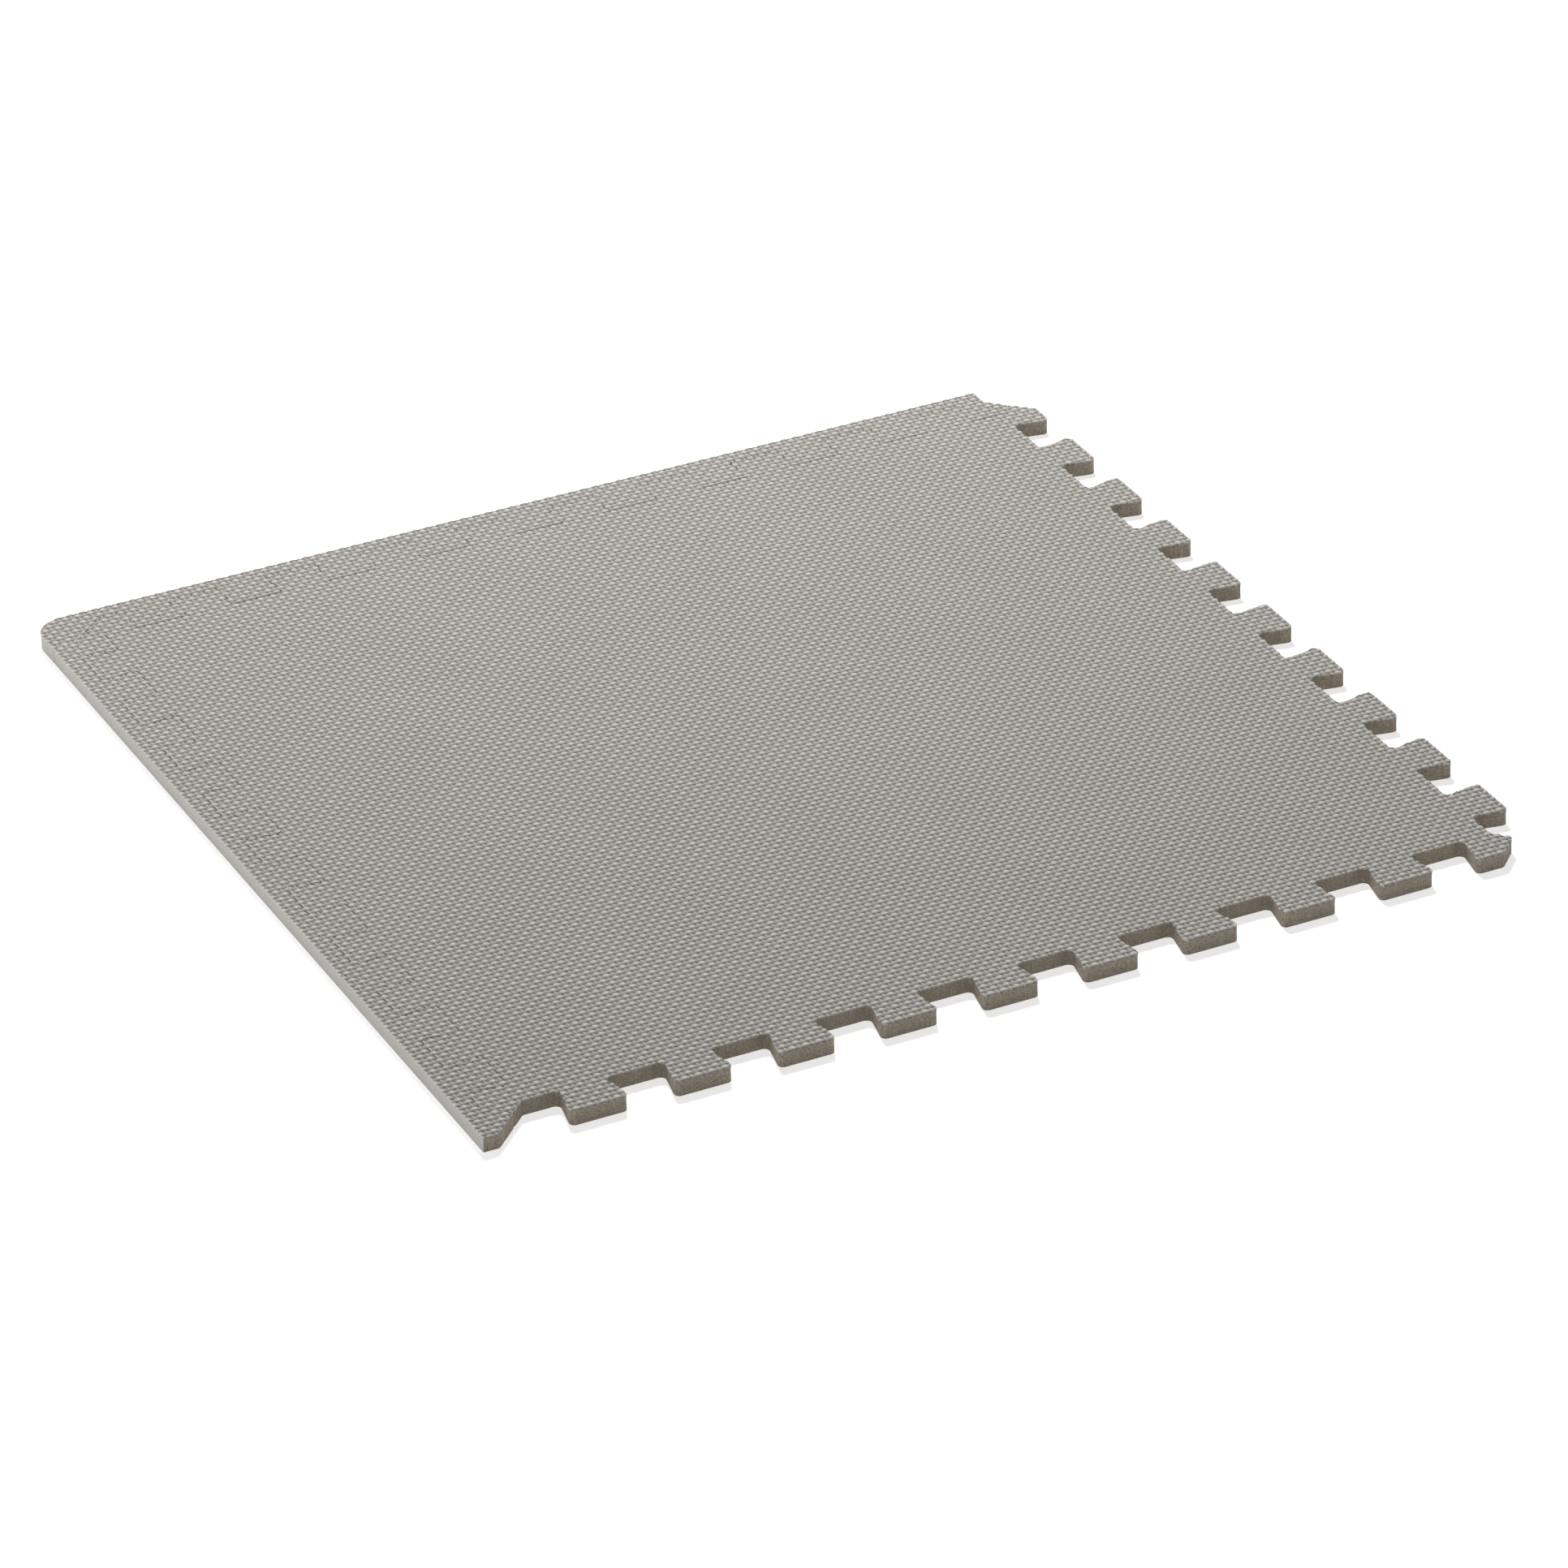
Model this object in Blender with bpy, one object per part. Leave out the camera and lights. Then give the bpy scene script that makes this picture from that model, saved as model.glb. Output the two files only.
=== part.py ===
"""Interlocking foam blocking mat with two border strips fitted.

A square tile of closed-cell foam is die cut with the same dovetail teeth on all
four sides, so that any side fits any side of the next tile. Two border strips
close off its left and rear sides. They are pressed in from above, and lift
straight off again. The right and front sides stay open for the next tiles.

Metres, +Z up. X runs along the front side, Y runs to the rear, and the origin
is on the floor under the middle of the whole mat.
"""

from math import atan2, cos, pi, sin, tan

import bmesh
import bpy
from mathutils import Vector

# Driving dimensions, in metres.
TILE_SIDE = 0.600  # from corner point to corner point, at half the teeth's depth
THICKNESS = 0.010
TEETH_PER_SIDE = 10
TOOTH_DEPTH = 0.022
TOOTH_LEAN = 0.0021  # each flank's shift between half depth and tip
TOOTH_ROUND = 0.0032  # tips and roots alike, because one blade cuts both
CORNER_RELIEF = 0.004  # how far the corner tooth's slope stays back from the corner
CORNER_POINT_ROUND = 0.0022
STRIP_MARGIN = 0.011  # foam beyond the tile's tooth tips
STRIP_END_STEP = 0.0125  # from the tile's corner point to a strip's square end
STRIP_END_ROUND = 0.0008
MAT_CORNER_ROUND = 0.0175
FIT_GAP = 0.0003  # between pieces that touch
ARC_STEPS = 4  # flat faces in a rounded corner

# Sizes that follow from them.
PITCH = TILE_SIDE / TEETH_PER_SIDE
HALF_TOOTH = PITCH / 4
HALF_DEPTH = TOOTH_DEPTH / 2
STRIP_REACH = HALF_DEPTH + STRIP_MARGIN
MAT_CENTRE = Vector(
    ((TILE_SIDE - STRIP_MARGIN) / 2, (TILE_SIDE + STRIP_REACH - STRIP_END_STEP) / 2)
)

# Each side's starting corner and the turn of its own frame, clockwise from the rear.
SIDES = {
    "rear": (Vector((0, TILE_SIDE)), 0.0),
    "right": (Vector((TILE_SIDE, TILE_SIDE)), -pi / 2),
    "front": (Vector((TILE_SIDE, 0)), pi),
    "left": (Vector((0, 0)), pi / 2),
}

# Foam colours and roughness: name, red, green, blue, roughness.
TILE_FOAM = ("tile_foam", 0.50, 0.48, 0.47, 0.85)
STRIP_FOAM = ("strip_foam", 0.51, 0.49, 0.48, 0.85)


class Corner:
    """A corner of an outline, its rounding, and the gap left along the edge after it."""

    def __init__(self, s, d, rounding, gap=0.0):
        self.at = Vector((s, d))
        self.rounding = rounding
        self.gap = gap


def toothed_side():
    """The corners of one tile side: s runs along the side, d points out of the tile.

    The first tooth is cut back to a 45 degree slope. The last notch ends in the
    slope that the next side's first tooth needs.
    """
    point = CORNER_RELIEF / 2
    corners = [
        Corner(point, -point, CORNER_POINT_ROUND),
        Corner(CORNER_RELIEF + HALF_DEPTH, HALF_DEPTH, TOOTH_ROUND),
    ]
    for tooth in range(TEETH_PER_SIDE):
        centre = HALF_TOOTH + tooth * PITCH
        tip = HALF_TOOTH + TOOTH_LEAN
        root = HALF_TOOTH - TOOTH_LEAN
        if tooth > 0:
            corners.append(Corner(centre - root, -HALF_DEPTH, TOOTH_ROUND))
            corners.append(Corner(centre - tip, HALF_DEPTH, TOOTH_ROUND))
        corners.append(Corner(centre + tip, HALF_DEPTH, TOOTH_ROUND))
        corners.append(Corner(centre + root, -HALF_DEPTH, TOOTH_ROUND))
    corners.append(Corner(TILE_SIDE - HALF_DEPTH, -HALF_DEPTH, TOOTH_ROUND))
    return corners


def tile_corners():
    """The four toothed sides joined into the tile's outline, in the mat's own plane."""
    corners = []
    for start, turn in SIDES.values():
        for corner in toothed_side():
            x, y = corner.at
            turned = Vector((x * cos(turn) - y * sin(turn), x * sin(turn) + y * cos(turn)))
            place = start + turned - MAT_CENTRE
            corners.append(Corner(place.x, place.y, corner.rounding))
    return corners


def strip_teeth():
    """The tile's teeth as the strip's inner edge, with the fit gap along every edge."""
    return [Corner(*c.at, c.rounding, FIT_GAP) for c in toothed_side()[1:]]


def strip_square_end():
    """The end that stops short of the corner: a slope from the corner point, then square."""
    point = CORNER_RELIEF / 2
    stop = TILE_SIDE - STRIP_END_STEP
    return [
        Corner(TILE_SIDE - point, -point, STRIP_END_ROUND),
        Corner(stop, STRIP_END_STEP - CORNER_RELIEF, STRIP_END_ROUND),
        Corner(stop, STRIP_REACH, STRIP_END_ROUND),
    ]


def left_strip_corners():
    """A strip that starts with a square nose past the tile's corner."""
    point = CORNER_RELIEF / 2
    nose = [
        Corner(-STRIP_END_STEP, STRIP_REACH, STRIP_END_ROUND),
        Corner(-STRIP_END_STEP, STRIP_END_STEP, STRIP_END_ROUND),
        Corner(point, -point, STRIP_END_ROUND, FIT_GAP),
    ]
    return nose + strip_teeth() + strip_square_end()


def rear_strip_corners():
    """A strip that starts with the mat's rounded corner block, which closes the other strip's end."""
    block = [
        Corner(-STRIP_REACH, STRIP_REACH, MAT_CORNER_ROUND),
        Corner(-STRIP_REACH, -STRIP_END_STEP, STRIP_END_ROUND, FIT_GAP),
        Corner(CORNER_RELIEF - STRIP_END_STEP, -STRIP_END_STEP, STRIP_END_ROUND, FIT_GAP),
    ]
    return block + strip_teeth() + strip_square_end()


def cross(a, b):
    """The z part of a cross product: positive where b turns left from a."""
    return a.x * b.y - a.y * b.x


def with_gaps(corners):
    """Counter-clockwise corners, with each edge moved inwards by its own gap.

    A corner between two moved edges keeps its arc's centre, so its rounding
    shrinks where the outline is convex and grows where it is hollow.
    """
    moved = []
    for i, corner in enumerate(corners):
        before = corners[i - 1]
        after = corners[(i + 1) % len(corners)]
        way_in = (corner.at - before.at).normalized()
        way_out = (after.at - corner.at).normalized()
        turn = cross(way_in, way_out)
        # The two moved edges cross at this shift from the old corner.
        shift = (way_out * before.gap - way_in * corner.gap) / turn
        shared = min(before.gap, corner.gap)
        rounding = corner.rounding - shared if turn > 0 else corner.rounding + shared
        moved.append(Corner(*(corner.at + shift), rounding))
    return moved


def rounded(corners):
    """The outline's points, with an arc in place of each corner."""
    points = []
    for i, corner in enumerate(corners):
        back = (corners[i - 1].at - corner.at).normalized()
        on = (corners[(i + 1) % len(corners)].at - corner.at).normalized()
        half_angle = back.angle(on) / 2
        reach = corner.rounding / tan(half_angle)
        centre = corner.at + (back + on).normalized() * corner.rounding / sin(half_angle)
        first = corner.at + back * reach - centre
        last = corner.at + on * reach - centre
        start = atan2(first.y, first.x)
        sweep = (atan2(last.y, last.x) - start + pi) % (2 * pi) - pi
        for step in range(ARC_STEPS + 1):
            angle = start + sweep * step / ARC_STEPS
            points.append(centre + corner.rounding * Vector((cos(angle), sin(angle))))
    return points


def foam_material(name, red, green, blue, roughness):
    """A matt foam finish."""
    material = bpy.data.materials.new(name)
    material.use_nodes = True
    shader = material.node_tree.nodes["Principled BSDF"]
    shader.inputs["Base Color"].default_value = (red, green, blue, 1)
    shader.inputs["Roughness"].default_value = roughness
    shader.inputs["Metallic"].default_value = 0
    material.diffuse_color = (red, green, blue, 1)
    return material


def cut_sheet(name, points, foam, parent):
    """A flat piece of foam sheet: the outline on the floor, extruded to the thickness."""
    mesh = bpy.data.meshes.new(name)
    bm = bmesh.new()
    face = bm.faces.new([bm.verts.new((p.x, p.y, 0)) for p in points])
    raised = bmesh.ops.extrude_face_region(bm, geom=[face])["geom"]
    top = [part for part in raised if isinstance(part, bmesh.types.BMVert)]
    bmesh.ops.translate(bm, vec=(0, 0, THICKNESS), verts=top)
    bmesh.ops.recalc_face_normals(bm, faces=bm.faces)
    bm.to_mesh(mesh)
    bm.free()
    mesh.materials.append(foam_material(*foam))
    piece = bpy.data.objects.new(name, mesh)
    piece.parent = parent
    bpy.context.collection.objects.link(piece)
    return piece


def place_on_side(piece, side):
    """Sets a strip, made in a side's own frame, against that side of the tile."""
    start, turn = SIDES[side]
    piece.location = (*(start - MAT_CENTRE), 0)
    piece.rotation_euler.z = turn


for old in list(bpy.data.objects):
    bpy.data.objects.remove(old, do_unlink=True)

mat = bpy.data.objects.new("blocking_mat", None)
bpy.context.collection.objects.link(mat)

cut_sheet("foam_tile", rounded(tile_corners()), TILE_FOAM, mat)

left_strip = cut_sheet("left_border_strip", rounded(with_gaps(left_strip_corners())), STRIP_FOAM, mat)
place_on_side(left_strip, "left")

rear_strip = cut_sheet("rear_border_strip", rounded(with_gaps(rear_strip_corners())), STRIP_FOAM, mat)
place_on_side(rear_strip, "rear")
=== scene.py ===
import random
from math import atan2, ceil, cos, pi, radians, sin, tan

import bmesh
import bpy
from mathutils import Matrix, Vector
from mathutils.bvhtree import BVHTree
from mathutils.geometry import delaunay_2d_cdt


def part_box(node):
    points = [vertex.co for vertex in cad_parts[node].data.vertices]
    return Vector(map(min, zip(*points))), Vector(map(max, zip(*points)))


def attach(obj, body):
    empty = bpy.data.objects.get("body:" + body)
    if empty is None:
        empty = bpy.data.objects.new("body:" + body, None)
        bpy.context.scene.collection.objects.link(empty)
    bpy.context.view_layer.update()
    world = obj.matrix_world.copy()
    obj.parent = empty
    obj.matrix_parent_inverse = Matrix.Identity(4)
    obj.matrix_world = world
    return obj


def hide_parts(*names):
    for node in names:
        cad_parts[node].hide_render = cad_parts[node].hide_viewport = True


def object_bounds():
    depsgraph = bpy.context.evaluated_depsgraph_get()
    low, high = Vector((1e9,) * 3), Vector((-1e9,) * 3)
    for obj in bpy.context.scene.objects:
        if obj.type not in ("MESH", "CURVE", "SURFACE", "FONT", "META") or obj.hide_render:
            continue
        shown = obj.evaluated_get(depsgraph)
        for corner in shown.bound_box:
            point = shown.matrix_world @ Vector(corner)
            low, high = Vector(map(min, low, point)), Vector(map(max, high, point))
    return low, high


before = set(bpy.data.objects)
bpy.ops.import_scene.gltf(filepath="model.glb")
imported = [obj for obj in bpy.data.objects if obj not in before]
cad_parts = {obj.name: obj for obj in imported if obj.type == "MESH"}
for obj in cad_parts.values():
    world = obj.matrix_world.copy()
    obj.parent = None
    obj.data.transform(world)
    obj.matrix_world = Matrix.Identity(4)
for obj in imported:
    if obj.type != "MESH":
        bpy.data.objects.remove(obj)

cad_low, cad_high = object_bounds()
scene = bpy.context.scene

# ---------------------------------------------------------------------------
# The camera. It stands to the left of the mat's front side and looks down on
# it through a long lens, so the far side is hardly smaller than the near one.
# ---------------------------------------------------------------------------
AIM = Vector((-0.0189, -0.0607, 0.0100))
CAMERA_DISTANCE = 4.4219
CAMERA_AZIMUTH = radians(-25.17)
CAMERA_ELEVATION = radians(29.37)
CAMERA_ROLL = radians(-1.777)
CAMERA_LENS = 183.95
SENSOR_WIDTH = 36.0

back = Vector((
    sin(CAMERA_AZIMUTH) * cos(CAMERA_ELEVATION),
    -cos(CAMERA_AZIMUTH) * cos(CAMERA_ELEVATION),
    sin(CAMERA_ELEVATION),
))
camera = bpy.data.objects.new("camera", bpy.data.cameras.new("camera"))
scene.collection.objects.link(camera)
camera.data.lens = CAMERA_LENS
camera.data.sensor_width = SENSOR_WIDTH
camera.data.clip_end = 50
turn = (-back).to_track_quat("-Z", "Y").to_matrix() @ Matrix.Rotation(CAMERA_ROLL, 3, "Z")
camera.matrix_world = Matrix.Translation(AIM + back * CAMERA_DISTANCE) @ turn.to_4x4()
scene.camera = camera

# ---------------------------------------------------------------------------
# The studio: a lit white table that runs out of view, one soft light high
# behind the mat, a low one at its left that lights the side walls and hardly
# the top, and an even white surround.
# ---------------------------------------------------------------------------
FLOOR_RADIUS = 14.0
FLOOR_SIDES = 96
FLOOR_DROP = 0.0002  # keeps the floor clear of the mat's underside
FLOOR_WHITE = (0.93, 0.93, 0.93, 1)
FLOOR_ROUGHNESS = 0.9
FLOOR_SPECULAR = 0.1
FLOOR_GLOW = 0.70  # the floor is a lit white table
SURROUND_WHITE = (1.0, 1.0, 1.0, 1)
SURROUND_STRENGTH = 0.14
HIGH_LIGHT = {"place": (0.42, 1.42, 2.12), "size": 0.55, "power": 68.0}
LEFT_LIGHT = {"place": (-2.6, 0.2, 0.28), "size": 1.0, "power": 18.0}


def soft_light(name, place, size, power):
    """A square soft box that faces the middle of the mat."""
    lamp = bpy.data.lights.new(name, "AREA")
    lamp.size = size
    lamp.energy = power
    light = bpy.data.objects.new(name, lamp)
    scene.collection.objects.link(light)
    light.location = place
    light.rotation_euler = (-Vector(place)).to_track_quat("-Z", "Y").to_euler()
    return light


def plain_floor():
    """A round white floor that glows a little."""
    mesh = bpy.data.meshes.new("studio_floor")
    disc = bmesh.new()
    bmesh.ops.create_circle(disc, cap_ends=True, segments=FLOOR_SIDES, radius=FLOOR_RADIUS)
    bmesh.ops.translate(disc, vec=(0, 0, cad_low.z - FLOOR_DROP), verts=disc.verts)
    disc.to_mesh(mesh)
    disc.free()
    paint = bpy.data.materials.new("studio_white")
    paint.use_nodes = True
    shader = paint.node_tree.nodes["Principled BSDF"]
    shader.inputs["Base Color"].default_value = FLOOR_WHITE
    shader.inputs["Roughness"].default_value = FLOOR_ROUGHNESS
    shader.inputs["Specular IOR Level"].default_value = FLOOR_SPECULAR
    shader.inputs["Emission Color"].default_value = FLOOR_WHITE
    shader.inputs["Emission Strength"].default_value = FLOOR_GLOW
    mesh.materials.append(paint)
    floor = bpy.data.objects.new("studio_floor", mesh)
    scene.collection.objects.link(floor)
    return floor


plain_floor()
soft_light("high_light", **HIGH_LIGHT)
soft_light("left_light", **LEFT_LIGHT)
surround = bpy.data.worlds.new("studio_surround")
surround.use_nodes = True
surround.node_tree.nodes["Background"].inputs["Color"].default_value = SURROUND_WHITE
surround.node_tree.nodes["Background"].inputs["Strength"].default_value = SURROUND_STRENGTH
scene.world = surround
scene.view_settings.view_transform = "Standard"

# ---------------------------------------------------------------------------
# The tile: one square of closed-cell foam, 10 mm thick. Its top is embossed
# like coarse linen between hot rollers, and then a steel rule die stamps out
# the same dovetail teeth on all four sides.
# ---------------------------------------------------------------------------
TOOTH_DEPTH = 0.022
TEETH_PER_SIDE = 10
TOOTH_LEAN = 0.0021  # each flank's shift between half depth and tip
TOOTH_ROUND = 0.0032
CORNER_RELIEF = 0.004
CORNER_POINT_ROUND = 0.0022
HALF_DEPTH = TOOTH_DEPTH / 2

tile_low, tile_high = (Vector(corner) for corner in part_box("foam_tile"))
TILE_SIDE = tile_high.x - tile_low.x - TOOTH_DEPTH
TILE_CORNER = tile_low.to_2d() + Vector((HALF_DEPTH, HALF_DEPTH))
THICKNESS = tile_high.z
PITCH = TILE_SIDE / TEETH_PER_SIDE
HALF_TOOTH = PITCH / 4

# The linen embossing: the cell is where one raised yarn crosses the other.
CELL_ACROSS = 0.00388
CELL_ALONG = 0.00405
EMBOSS_DEPTH = 0.00108
YARN_MERGE = 0.28  # how softly crossing yarns run into each other
YARN_ROUNDNESS = 2.4  # 2 is a round yarn, and more is a flatter one
# Each way's yarns: their height, their width in cells, and their rise and fall.
YARNS_ACROSS = {"height": 1.00, "width": 1.08, "swing": 0.70}
YARNS_ALONG = {"height": 0.84, "width": 0.65, "swing": 0.57}
POINTS_PER_CELL = 4

# The die cut edge, from the floor up: height, and how far in from the outline.
ARC_STEPS = 6
EDGE_STEP = 0.0011
EDGE_PROFILE = [
    (0.0000, 0.00030),
    (0.0003, 0.00004),
    (0.0030, 0.00010),
    (0.0055, 0.00014),
    (0.0086, 0.00006),
]
# The top's rim: height against the full thickness, and how far in.
RIM_PROFILE = [(-0.00022, 0.00000), (-0.00007, 0.00006), (0.0, 0.00018)]
SKIN_MARGIN = 0.00045  # from the rim to the first point of the embossing
SMALLEST_ROUND = 0.00003
KEEP_INSIDE = 1  # the triangulation's own code for "only inside the outline"
WELD_DISTANCE = 1e-7

# The foam's colours. The pit colour is painted shade, and the cut colour is the cut foam's brown
# made darker by painted shade.
SKIN_GREY = (0.571, 0.551, 0.514, 1)
PIT_PAINTED_SHADE = (0.085, 0.073, 0.057, 1)
CUT_BROWN_AND_SHADE = (0.272, 0.234, 0.183, 1)

# The foam's surface noises: how many to the metre, their detail, and any stretch.
CLOUDS = (14.0, 3.0)
MOTTLE = (950.0, 3.0)
GRAIN = (3600.0, 2.0)
DRAG_MARKS = (900.0, 3.0, (1.0, 1.0, 0.10))
PORES_PER_METRE = 1100.0
PORE_EDGE = (0.10, 0.30)
# The middle part of a noise's range, which is stretched over the effect.
SHARP_NOISE = (0.3, 0.7)
SOFT_NOISE = (0.25, 0.75)
# How far each one lightens or darkens its colour.
CLOUD_SHADE = (0.98, 1.02)
GRAIN_SHADE = (0.90, 1.10)
SIDE_PAINTED_SHADE = 0.73  # painted shade: a moulded side made darker than the crests of the top
WALL_MOTTLE_SHADE = (0.92, 1.08)
DRAG_SHADE = (0.88, 1.12)
CUT_SHADE = (0.55, 1.45)
# Painted shade in the pores of the cut foam.
PORE_PAINTED_SHADE = 0.40
# Where the skin turns from the painted shade of the pits to its own grey on the crests, and how
# uneven that line is.
CREST_SPAN = (0.06, 0.785)
CREST_UNEVENNESS = (-0.07, 0.07)
SKIN_ROUGHNESS = (0.50, 0.62)
PIT_EXTRA_ROUGHNESS = 0.12
CUT_ROUGHNESS = (0.78, 0.92)
FOAM_SPECULAR = 0.33
# The fine relief: the grain's height, and the others as a share of it.
GRAIN_HEIGHT = 0.00012
GRAIN_STRENGTH = 0.5
MOTTLE_RELIEF = 0.6
PORE_RELIEF = 0.8

# Each side's start in the tile's own square, and its turn, clockwise from the rear.
SIDES = {
    "rear": (Vector((0, TILE_SIDE)), 0.0),
    "right": (Vector((TILE_SIDE, TILE_SIDE)), -pi / 2),
    "front": (Vector((TILE_SIDE, 0)), pi),
    "left": (Vector((0, 0)), pi / 2),
}


def corner(s, d, rounding, gap=0.0):
    """A corner of an outline: its place, its rounding, and the gap along the edge after it."""
    return {"at": Vector((s, d)), "rounding": rounding, "gap": gap}


def no_gap():
    """The tile itself is cut to the full outline."""
    return 0.0


def toothed_side(level=no_gap, flank=no_gap):
    """The corners of one side: s runs along the side, d points out of the tile.

    Tips and roots keep one kind of gap, and the teeth's flanks another.
    """
    point = CORNER_RELIEF / 2
    tip = HALF_TOOTH + TOOTH_LEAN
    root = HALF_TOOTH - TOOTH_LEAN
    corners = [
        corner(point, -point, CORNER_POINT_ROUND, flank()),
        corner(CORNER_RELIEF + HALF_DEPTH, HALF_DEPTH, TOOTH_ROUND, level()),
    ]
    for tooth in range(TEETH_PER_SIDE):
        middle = HALF_TOOTH + tooth * PITCH
        if tooth > 0:
            corners.append(corner(middle - root, -HALF_DEPTH, TOOTH_ROUND, flank()))
            corners.append(corner(middle - tip, HALF_DEPTH, TOOTH_ROUND, level()))
        corners.append(corner(middle + tip, HALF_DEPTH, TOOTH_ROUND, flank()))
        corners.append(corner(middle + root, -HALF_DEPTH, TOOTH_ROUND, level()))
    corners.append(corner(TILE_SIDE - HALF_DEPTH, -HALF_DEPTH, TOOTH_ROUND, flank()))
    return corners


def set_on_side(corners, side):
    """Corners in a side's own frame, moved to their place on the mat."""
    start, angle = SIDES[side]
    spin = Matrix.Rotation(angle, 2)
    return [{**c, "at": TILE_CORNER + start + spin @ c["at"]} for c in corners]


def cross(a, b):
    """The z part of a cross product: positive where b turns left from a."""
    return a.x * b.y - a.y * b.x


def moved_in(corners, inset):
    """Counter-clockwise corners, each edge moved inwards by its own gap and the inset."""
    moved = []
    for i, here in enumerate(corners):
        before, after = corners[i - 1], corners[(i + 1) % len(corners)]
        way_in = (here["at"] - before["at"]).normalized()
        way_out = (after["at"] - here["at"]).normalized()
        bend = cross(way_in, way_out)
        gap_in, gap_out = before["gap"] + inset, here["gap"] + inset
        shift = (way_out * gap_in - way_in * gap_out) / bend
        shared = min(gap_in, gap_out)
        rounding = here["rounding"] + (-shared if bend > 0 else shared)
        moved.append({"at": here["at"] + shift, "rounding": max(rounding, SMALLEST_ROUND)})
    return moved


def rounded(corners):
    """The outline's points, with an arc in place of each corner."""
    points = []
    for i, here in enumerate(corners):
        to_last = (corners[i - 1]["at"] - here["at"]).normalized()
        to_next = (corners[(i + 1) % len(corners)]["at"] - here["at"]).normalized()
        half_angle = to_last.angle(to_next) / 2
        reach = here["rounding"] / tan(half_angle)
        centre = here["at"] + (to_last + to_next).normalized() * here["rounding"] / sin(half_angle)
        first = here["at"] + to_last * reach - centre
        last = here["at"] + to_next * reach - centre
        start = atan2(first.y, first.x)
        sweep = (atan2(last.y, last.x) - start + pi) % (2 * pi) - pi
        for step in range(ARC_STEPS + 1):
            angle = start + sweep * step / ARC_STEPS
            points.append(centre + here["rounding"] * Vector((cos(angle), sin(angle))))
    return points


def edge_ring(corners, inset, splits):
    """One ring of points round the piece, with its straight runs split up."""
    points = rounded(moved_in(corners, inset))
    ring = []
    for i, point in enumerate(points):
        after = points[(i + 1) % len(points)]
        ring += [point.lerp(after, step / splits[i]) for step in range(splits[i])]
    return ring


def lattice_inside(ring):
    """The points of the embossing's own lattice that lie well inside a ring."""
    count = len(ring)
    fence = [(p.x, p.y, z) for z in (-1, 1) for p in ring]
    panels = [(i, (i + 1) % count, count + (i + 1) % count, count + i) for i in range(count)]
    wall = BVHTree.FromPolygons(fence, panels)
    xs = [p.x for p in ring]
    ys = [p.y for p in ring]
    step_x, step_y = CELL_ACROSS / POINTS_PER_CELL, CELL_ALONG / POINTS_PER_CELL
    inside = []
    for j in range(ceil(min(ys) / step_y), int(max(ys) // step_y) + 1):
        y = j * step_y
        for i in range(ceil(min(xs) / step_x), int(max(xs) // step_x) + 1):
            x = i * step_x
            spot, normal, _, distance = wall.find_nearest((x, y, 0))
            way_out = Vector((normal.x, normal.y))
            if distance > SKIN_MARGIN and (Vector((x, y)) - spot.to_2d()).dot(way_out) < 0:
                inside.append(Vector((x, y)))
    return inside


def foam_sheet(name, corners, moulded_side=None):
    """A die cut piece of foam sheet, with a mesh fine enough on top to take the embossing.

    The attribute "skin" is 1 on the moulded top and 0 on the cut edge and underside.
    The attribute "wall" is 1 down a side that has a moulded skin too.
    """
    outline = rounded(moved_in(corners, 0))
    splits = []
    for i, point in enumerate(outline):
        run = (outline[(i + 1) % len(outline)] - point).length
        splits.append(max(1, round(run / EDGE_STEP)))
    levels = EDGE_PROFILE + [(THICKNESS + drop, inset) for drop, inset in RIM_PROFILE]
    rings = [edge_ring(corners, inset, splits) for height, inset in levels]
    count = len(rings[0])
    verts, skin, wall = [], [], []
    for (height, inset), ring in zip(levels, rings):
        verts += [(p.x, p.y, height) for p in ring]
        on_top = height >= THICKNESS + RIM_PROFILE[0][0]
        skin += [float(on_top)] * count
        wall += [float(moulded_side is not None and moulded_side(p)) for p in ring]
    faces = []
    for level in range(len(levels) - 1):
        low, high = level * count, (level + 1) * count
        for i in range(count):
            j = (i + 1) % count
            faces.append((low + i, low + j, high + j, high + i))
    faces.append(tuple(range(count - 1, -1, -1)))

    rim = rings[-1]
    flat = rim + lattice_inside(rim)
    edges = [(i, (i + 1) % count) for i in range(count)]
    found, _, triangles, origins, _, _ = delaunay_2d_cdt(
        flat, edges, [tuple(range(count))], KEEP_INSIDE, WELD_DISTANCE
    )
    first = (len(levels) - 1) * count
    at = {}
    for i, made_from in enumerate(origins):
        if made_from and made_from[0] < count:
            at[i] = first + made_from[0]
        else:
            at[i] = len(verts)
            verts.append((found[i].x, found[i].y, THICKNESS))
            skin.append(1.0)
            wall.append(0.0)
    faces += [tuple(at[i] for i in triangle) for triangle in triangles]
    mesh = bpy.data.meshes.new(name)
    mesh.from_pydata(verts, [], faces)
    mesh.attributes.new("skin", "FLOAT", "POINT").data.foreach_set("value", skin)
    mesh.attributes.new("wall", "FLOAT", "POINT").data.foreach_set("value", wall)
    mesh.update()
    piece = bpy.data.objects.new(name, mesh)
    scene.collection.objects.link(piece)
    return piece


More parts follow.
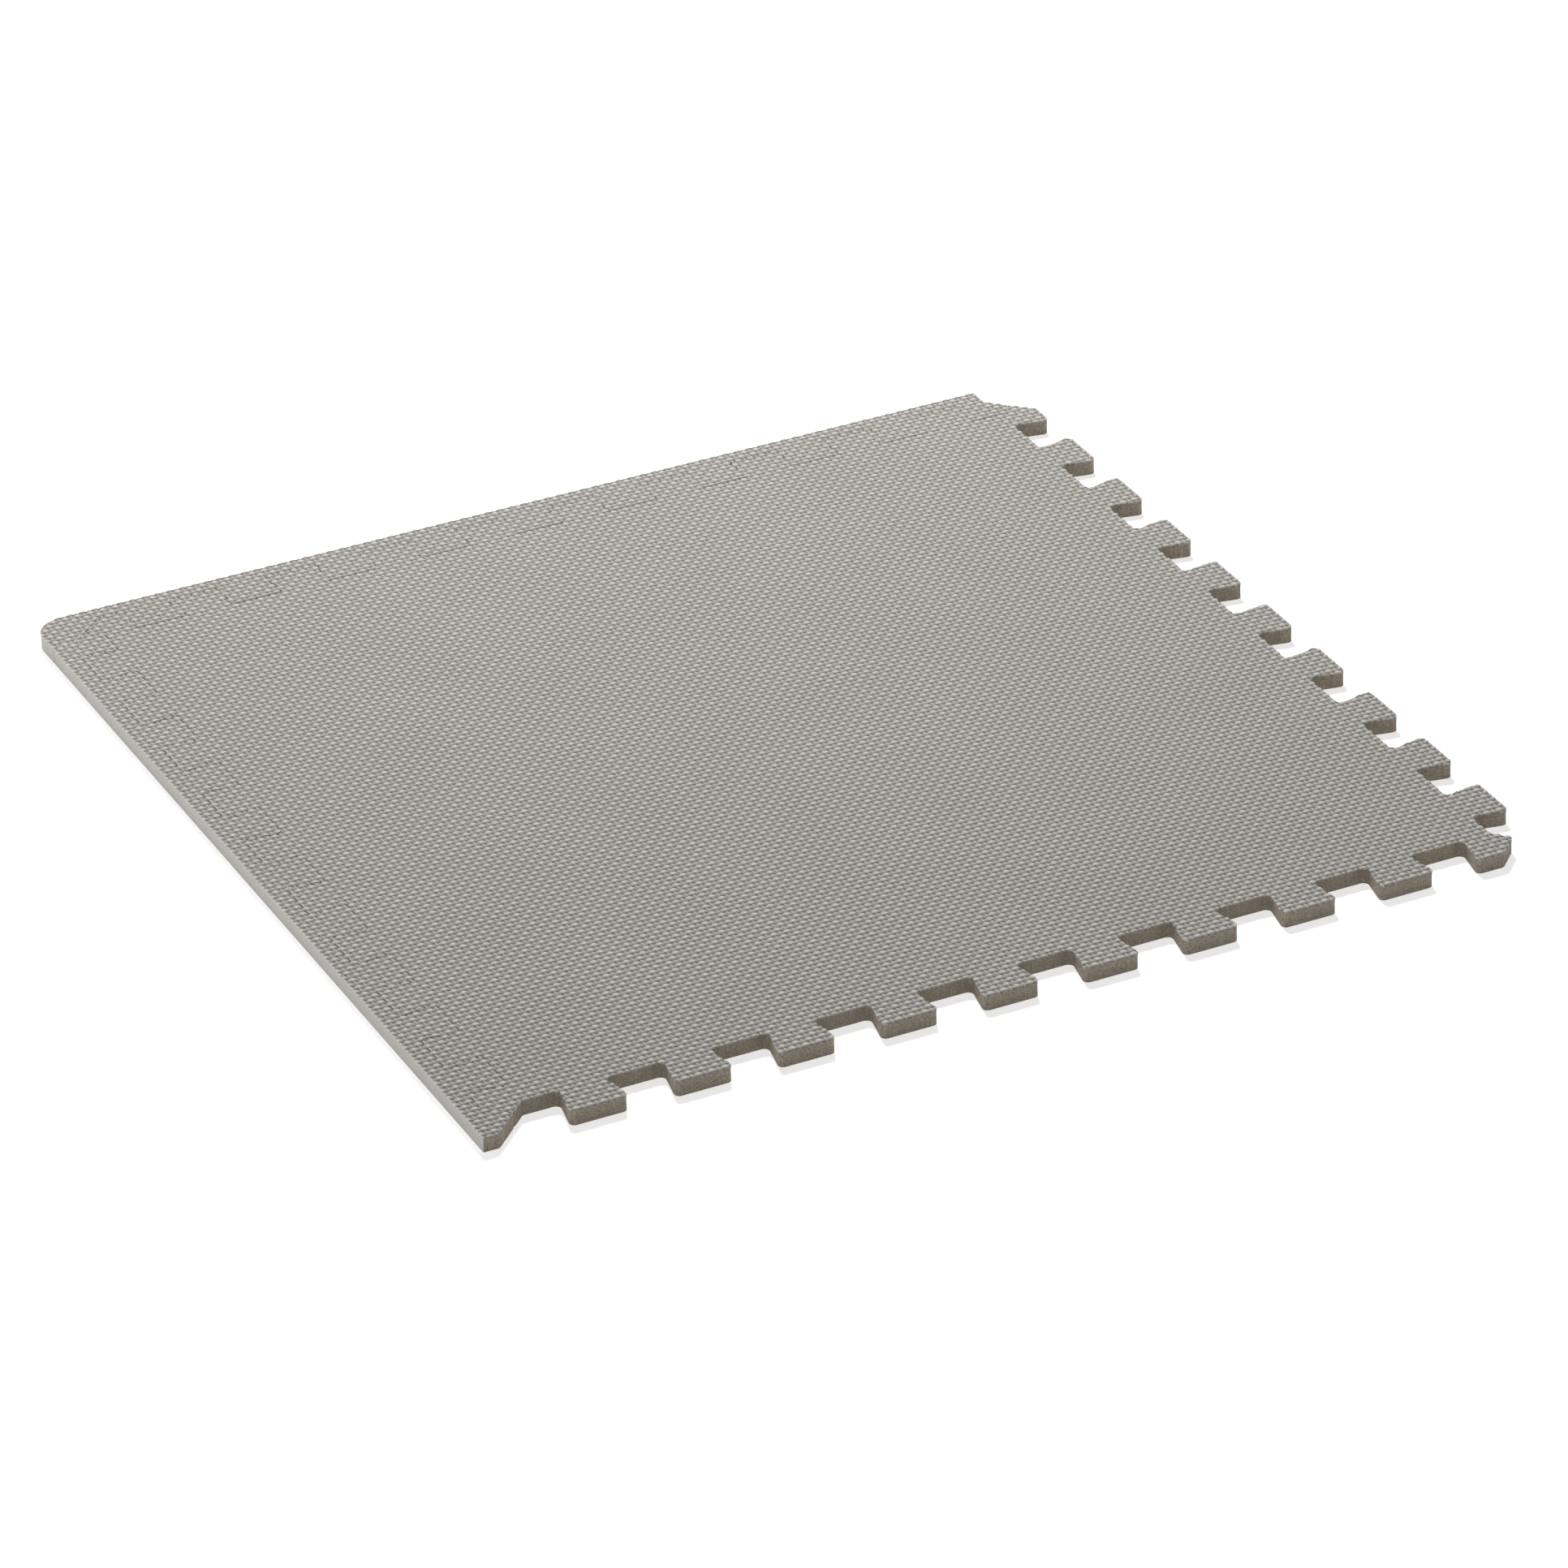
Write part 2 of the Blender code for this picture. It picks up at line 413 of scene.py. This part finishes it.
def linen_embossing():
    """Geometry Nodes that press the linen pattern into the moulded top.

    Yarns run along X and along Y and pass over and under each other in turn.
    The top yarn at a place sets the height, and its tallest point stays at the
    sheet's full thickness. The attribute "crest" keeps that height, 0 to 1.
    """
    tree = bpy.data.node_groups.new("linen_embossing", "GeometryNodeTree")
    face = tree.interface
    face.new_socket("Geometry", in_out="INPUT", socket_type="NodeSocketGeometry")
    for socket in EMBOSSING_SIZES:
        face.new_socket(socket, in_out="INPUT", socket_type="NodeSocketFloat")
    face.new_socket("Foam", in_out="INPUT", socket_type="NodeSocketMaterial")
    face.new_socket("Geometry", in_out="OUTPUT", socket_type="NodeSocketGeometry")
    nodes, links = tree.nodes, tree.links
    given = nodes.new("NodeGroupInput")

    def math(operation, a, b=None, c=None):
        node = nodes.new("ShaderNodeMath")
        node.operation = operation
        for socket, value in zip(node.inputs, (a, b, c)):
            if isinstance(value, (int, float)):
                socket.default_value = value
            elif value is not None:
                links.new(value, socket)
        return node.outputs[0]

    place = nodes.new("ShaderNodeSeparateXYZ")
    links.new(nodes.new("GeometryNodeInputPosition").outputs[0], place.inputs[0])
    u = math("DIVIDE", place.outputs["X"], given.outputs["Cell Across"])
    v = math("DIVIDE", place.outputs["Y"], given.outputs["Cell Along"])

    def swap(cells):
        """1 in even rows of cells and -1 in odd ones."""
        odd = math("FLOORED_MODULO", math("FLOOR", cells), 2)
        return math("SUBTRACT", 1, math("MULTIPLY", odd, 2))

    def hump(cells, width):
        """The rounded cross section of one yarn."""
        off = math("ABSOLUTE", math("SUBTRACT", math("MULTIPLY", math("FRACT", cells), 2), 1))
        off = math("POWER", math("DIVIDE", off, width), given.outputs["Roundness"])
        return math("MAXIMUM", math("SUBTRACT", 1, off), 0)

    def wave(cells, sign, swing):
        """Over and under along a yarn, 0 to 1."""
        rise = math("MULTIPLY", math("SINE", math("MULTIPLY", cells, pi)), sign)
        rise = math("ADD", math("MULTIPLY", rise, swing), 0.5)
        return math("MINIMUM", math("MAXIMUM", rise, 0), 1)

    def yarn(way, section, length, sign):
        """One way's yarns, as a height from 0 to 1."""
        shape = math(
            "MULTIPLY",
            hump(section, given.outputs["Width " + way]),
            wave(length, sign, given.outputs["Swing " + way]),
        )
        return math("MULTIPLY", shape, given.outputs["Height " + way])

    over_rows = math("MULTIPLY", swap(u), -1)
    across, along = yarn("Across", v, u, swap(v)), yarn("Along", u, v, over_rows)
    height = math("SMOOTH_MAX", across, along, given.outputs["Merge"])
    skin = nodes.new("GeometryNodeInputNamedAttribute")
    skin.data_type = "FLOAT"
    skin.inputs["Name"].default_value = "skin"
    pressed = math("MULTIPLY", math("SUBTRACT", height, 1), given.outputs["Depth"])
    pressed = math("MULTIPLY", pressed, skin.outputs["Attribute"])
    shift = nodes.new("ShaderNodeCombineXYZ")
    links.new(pressed, shift.inputs["Z"])

    keep = nodes.new("GeometryNodeStoreNamedAttribute")
    keep.data_type = "FLOAT"
    keep.domain = "POINT"
    keep.inputs["Name"].default_value = "crest"
    links.new(given.outputs["Geometry"], keep.inputs["Geometry"])
    links.new(height, keep.inputs["Value"])
    press = nodes.new("GeometryNodeSetPosition")
    links.new(keep.outputs["Geometry"], press.inputs["Geometry"])
    links.new(shift.outputs[0], press.inputs["Offset"])
    realize = nodes.new("GeometryNodeRealizeInstances")
    links.new(press.outputs["Geometry"], realize.inputs["Geometry"])
    finish = nodes.new("GeometryNodeSetMaterial")
    links.new(realize.outputs["Geometry"], finish.inputs["Geometry"])
    links.new(given.outputs["Foam"], finish.inputs["Material"])
    made = nodes.new("NodeGroupOutput")
    links.new(finish.outputs["Geometry"], made.inputs["Geometry"])
    return tree


def emboss(piece, foam):
    """Runs the embossing over a piece and leaves a plain mesh."""
    press = piece.modifiers.new("linen_embossing", "NODES")
    press.node_group = EMBOSSING
    values = {**EMBOSSING_SIZES, "Foam": foam}
    for item in EMBOSSING.interface.items_tree:
        if item.in_out == "INPUT" and item.name in values:
            press[item.identifier] = values[item.name]
    shaped = piece.evaluated_get(bpy.context.evaluated_depsgraph_get())
    plain = bpy.data.meshes.new_from_object(shaped)
    piece.modifiers.remove(press)
    piece.data = plain
    plain.name = piece.name


def foam_surface():
    """Shader node group for closed-cell foam, on Object coordinates.

    Moulded skin is darkened by painted shade and dull down in the embossing, and keeps its own
    grey on the crests, with cloudy mottling. Cut foam shows pores and the die's upright drag
    marks.
    """
    tree = bpy.data.node_groups.new("foam_surface", "ShaderNodeTree")
    face = tree.interface
    for socket in ("Skin", "Wall", "Crest"):
        face.new_socket(socket, in_out="INPUT", socket_type="NodeSocketFloat")
    for socket in ("Skin Colour", "Pit Shade Colour", "Cut Colour And Shade"):
        face.new_socket(socket, in_out="INPUT", socket_type="NodeSocketColor")
    face.new_socket("Colour", in_out="OUTPUT", socket_type="NodeSocketColor")
    for socket in ("Roughness", "Height"):
        face.new_socket(socket, in_out="OUTPUT", socket_type="NodeSocketFloat")
    nodes, links = tree.nodes, tree.links
    given, made = nodes.new("NodeGroupInput"), nodes.new("NodeGroupOutput")
    place = nodes.new("ShaderNodeTexCoord").outputs["Object"]

    def noise(scale, detail, stretch=None):
        """Cloudy noise, with so many clouds to the metre."""
        node = nodes.new("ShaderNodeTexNoise")
        node.inputs["Scale"].default_value = scale
        node.inputs["Detail"].default_value = detail
        if stretch is None:
            links.new(place, node.inputs["Vector"])
        else:
            mapping = nodes.new("ShaderNodeMapping")
            mapping.inputs["Scale"].default_value = stretch
            links.new(place, mapping.inputs["Vector"])
            links.new(mapping.outputs["Vector"], node.inputs["Vector"])
        return node.outputs["Fac"]

    def spread(value, from_low, from_high, to_low, to_high):
        """A value's range stretched onto another range, and held inside it."""
        node = nodes.new("ShaderNodeMapRange")
        limits = (from_low, from_high, to_low, to_high)
        for socket, limit in zip(("From Min", "From Max", "To Min", "To Max"), limits):
            node.inputs[socket].default_value = limit
        links.new(value, node.inputs["Value"])
        return node.outputs["Result"]

    def math(operation, a, b):
        node = nodes.new("ShaderNodeMath")
        node.operation = operation
        for socket, value in zip(node.inputs, (a, b)):
            if isinstance(value, (int, float)):
                socket.default_value = value
            else:
                links.new(value, socket)
        return node.outputs[0]

    def mix(factor, a, b, blend="MIX"):
        node = nodes.new("ShaderNodeMix")
        node.data_type = "RGBA"
        node.blend_type = blend
        for socket, value in (("Factor", factor), ("A", a), ("B", b)):
            if isinstance(value, (int, float)):
                node.inputs[socket].default_value = value
            else:
                links.new(value, node.inputs[socket])
        return node.outputs["Result"]

    def shade(colour, amount):
        """A colour made lighter or darker by an amount round 1."""
        grey = nodes.new("ShaderNodeCombineColor")
        for socket in grey.inputs:
            links.new(amount, socket)
        return mix(1.0, colour, grey.outputs["Color"], "MULTIPLY")

    clouds = spread(noise(*CLOUDS), *SHARP_NOISE, *CLOUD_SHADE)
    mottle = noise(*MOTTLE)
    grain = noise(*GRAIN)
    drag = noise(*DRAG_MARKS)
    pores = nodes.new("ShaderNodeTexVoronoi")
    pores.inputs["Scale"].default_value = PORES_PER_METRE
    links.new(place, pores.inputs["Vector"])
    pore = spread(pores.outputs["Distance"], *PORE_EDGE, 1.0, 0.0)

    unevenness = spread(mottle, *SOFT_NOISE, *CREST_UNEVENNESS)
    uneven = math("ADD", given.outputs["Crest"], unevenness)
    raised = spread(uneven, *CREST_SPAN, 0.0, 1.0)
    # Painted shade in the embossing: low points take the dark pit colour, and the crests the
    # skin's own grey.
    moulded = mix(raised, given.outputs["Pit Shade Colour"], given.outputs["Skin Colour"])
    speckle = spread(grain, *SHARP_NOISE, *GRAIN_SHADE)
    moulded = shade(moulded, math("MULTIPLY", clouds, speckle))
    # Painted shade on the moulded sides: the skin's grey made darker than the top.
    plain = shade(given.outputs["Skin Colour"], math("MULTIPLY", clouds, SIDE_PAINTED_SHADE))
    plain = shade(plain, spread(mottle, *SOFT_NOISE, *WALL_MOTTLE_SHADE))
    # Cut walls: the cut foam's brown made darker by painted shade, then drag marks, mottling and
    # pores.
    cut = shade(given.outputs["Cut Colour And Shade"], spread(drag, *SHARP_NOISE, *DRAG_SHADE))
    cut = shade(cut, spread(mottle, *SOFT_NOISE, *CUT_SHADE))
    # Painted shade in the pores: the cut is darkened where its open cells are.
    cut = shade(cut, spread(pore, 0.0, 1.0, 1.0, PORE_PAINTED_SHADE))
    side = mix(given.outputs["Wall"], cut, plain)
    links.new(mix(given.outputs["Skin"], side, moulded), made.inputs["Colour"])

    skin_rough = spread(grain, *SHARP_NOISE, *SKIN_ROUGHNESS)
    rough = math("ADD", skin_rough, spread(raised, 0.0, 1.0, PIT_EXTRA_ROUGHNESS, 0.0))
    cut_rough = spread(mottle, *SHARP_NOISE, *CUT_ROUGHNESS)
    rough_mix = nodes.new("ShaderNodeMix")
    for socket, value in (("Factor", given.outputs["Skin"]), ("A", cut_rough), ("B", rough)):
        links.new(value, rough_mix.inputs[socket])
    links.new(rough_mix.outputs["Result"], made.inputs["Roughness"])
    relief = math("ADD", grain, math("MULTIPLY", mottle, MOTTLE_RELIEF))
    holes = math("MULTIPLY", math("SUBTRACT", 1, given.outputs["Skin"]), pore)
    relief = math("SUBTRACT", relief, math("MULTIPLY", holes, PORE_RELIEF))
    links.new(relief, made.inputs["Height"])
    return tree


def foam_material(name, skin_colour):
    """Matt closed-cell foam: a moulded skin on top and bare cells where it is cut."""
    foam = bpy.data.materials.new(name)
    foam.use_nodes = True
    nodes, links = foam.node_tree.nodes, foam.node_tree.links
    shader = nodes["Principled BSDF"]
    shader.inputs["Specular IOR Level"].default_value = FOAM_SPECULAR
    surface = nodes.new("ShaderNodeGroup")
    surface.node_tree = SURFACE
    surface.inputs["Skin Colour"].default_value = skin_colour
    # The pit colour is painted shade, and the cut colour holds painted shade too.
    surface.inputs["Pit Shade Colour"].default_value = PIT_PAINTED_SHADE
    surface.inputs["Cut Colour And Shade"].default_value = CUT_BROWN_AND_SHADE
    for socket in ("Skin", "Wall", "Crest"):
        layer = nodes.new("ShaderNodeAttribute")
        layer.attribute_name = socket.lower()
        links.new(layer.outputs["Fac"], surface.inputs[socket])
    bump = nodes.new("ShaderNodeBump")
    bump.inputs["Distance"].default_value = GRAIN_HEIGHT
    bump.inputs["Strength"].default_value = GRAIN_STRENGTH
    links.new(surface.outputs["Height"], bump.inputs["Height"])
    links.new(bump.outputs["Normal"], shader.inputs["Normal"])
    links.new(surface.outputs["Colour"], shader.inputs["Base Color"])
    links.new(surface.outputs["Roughness"], shader.inputs["Roughness"])
    return foam


EMBOSSING_SIZES = {
    "Cell Across": CELL_ACROSS,
    "Cell Along": CELL_ALONG,
    "Depth": EMBOSS_DEPTH,
    "Merge": YARN_MERGE,
    "Roundness": YARN_ROUNDNESS,
    **{f"{size.title()} Across": value for size, value in YARNS_ACROSS.items()},
    **{f"{size.title()} Along": value for size, value in YARNS_ALONG.items()},
}
EMBOSSING = linen_embossing()
SURFACE = foam_surface()

clockwise = [c for side in SIDES for c in set_on_side(toothed_side(), side)]
tile = foam_sheet("tile_foam_sheet", clockwise[::-1])
emboss(tile, foam_material("tile_foam", SKIN_GREY))
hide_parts("foam_tile")
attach(tile, "tile")

# ---------------------------------------------------------------------------
# The left border strip: a straight strip of the same foam with the tile's
# teeth along its inner edge, pressed in from above. Its front end is a square
# nose past the tile's corner, and its rear end stops against the other strip.
# ---------------------------------------------------------------------------
STRIP_MARGIN = 0.011
STRIP_END_STEP = 0.0125
STRIP_END_ROUND = 0.0008
STRIP_REACH = HALF_DEPTH + STRIP_MARGIN
SEAM_SEED = 31
OPEN_SEAM = (0.00012, 0.00034)  # foam edges along X, which stand slightly apart
SHUT_SEAM = (0.00002, 0.00006)  # foam edges along Y, which press together
SIDE_BAND = 0.0006  # how near the outermost line a point counts as on the moulded side

seams = random.Random(SEAM_SEED)


def open_seam():
    """The gap along one edge of a strip that runs along X."""
    return seams.uniform(*OPEN_SEAM)


def shut_seam():
    """The gap along one edge of a strip that runs along Y."""
    return seams.uniform(*SHUT_SEAM)


def strip_square_end():
    """The end that stops short of the corner: a slope from the corner point, then square."""
    point = CORNER_RELIEF / 2
    stop = TILE_SIDE - STRIP_END_STEP
    return [
        corner(TILE_SIDE - point, -point, STRIP_END_ROUND),
        corner(stop, STRIP_END_STEP - CORNER_RELIEF, STRIP_END_ROUND),
        corner(stop, STRIP_REACH, STRIP_END_ROUND),
    ]


nose = [
    corner(-STRIP_END_STEP, STRIP_REACH, STRIP_END_ROUND),
    corner(-STRIP_END_STEP, STRIP_END_STEP, STRIP_END_ROUND),
    corner(CORNER_RELIEF / 2, -CORNER_RELIEF / 2, STRIP_END_ROUND, open_seam()),
]
left_teeth = toothed_side(level=shut_seam, flank=open_seam)[1:]
left_outline = set_on_side(nose + left_teeth + strip_square_end(), "left")
left_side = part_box("left_border_strip")[0][0] + SIDE_BAND
left_strip = foam_sheet("left_strip_foam_sheet", left_outline, lambda p: p.x < left_side)
emboss(left_strip, foam_material("left_strip_foam", SKIN_GREY))
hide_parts("left_border_strip")
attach(left_strip, "left_strip")

# ---------------------------------------------------------------------------
# The rear border strip: the same strip with the mat's rounded corner block
# at its left end, which closes off the end of the left strip.
# ---------------------------------------------------------------------------
MAT_CORNER_ROUND = 0.0175

block = [
    corner(-STRIP_REACH, STRIP_REACH, MAT_CORNER_ROUND),
    corner(-STRIP_REACH, -STRIP_END_STEP, STRIP_END_ROUND, open_seam()),
    corner(CORNER_RELIEF - STRIP_END_STEP, -STRIP_END_STEP, STRIP_END_ROUND, open_seam()),
]
rear_teeth = toothed_side(level=open_seam, flank=shut_seam)[1:]
rear_outline = set_on_side(block + rear_teeth + strip_square_end(), "rear")
rear_low, rear_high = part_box("rear_border_strip")


def on_rear_side(p):
    """Whether a point is on the strip's two outer sides or the rounded corner between them."""
    from_left, from_rear = p.x - rear_low[0], rear_high[1] - p.y
    rounded_corner = from_left < MAT_CORNER_ROUND and from_rear < MAT_CORNER_ROUND
    return from_left < SIDE_BAND or from_rear < SIDE_BAND or rounded_corner


rear_strip = foam_sheet("rear_strip_foam_sheet", rear_outline, on_rear_side)
emboss(rear_strip, foam_material("rear_strip_foam", SKIN_GREY))
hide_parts("rear_border_strip")
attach(rear_strip, "rear_strip")
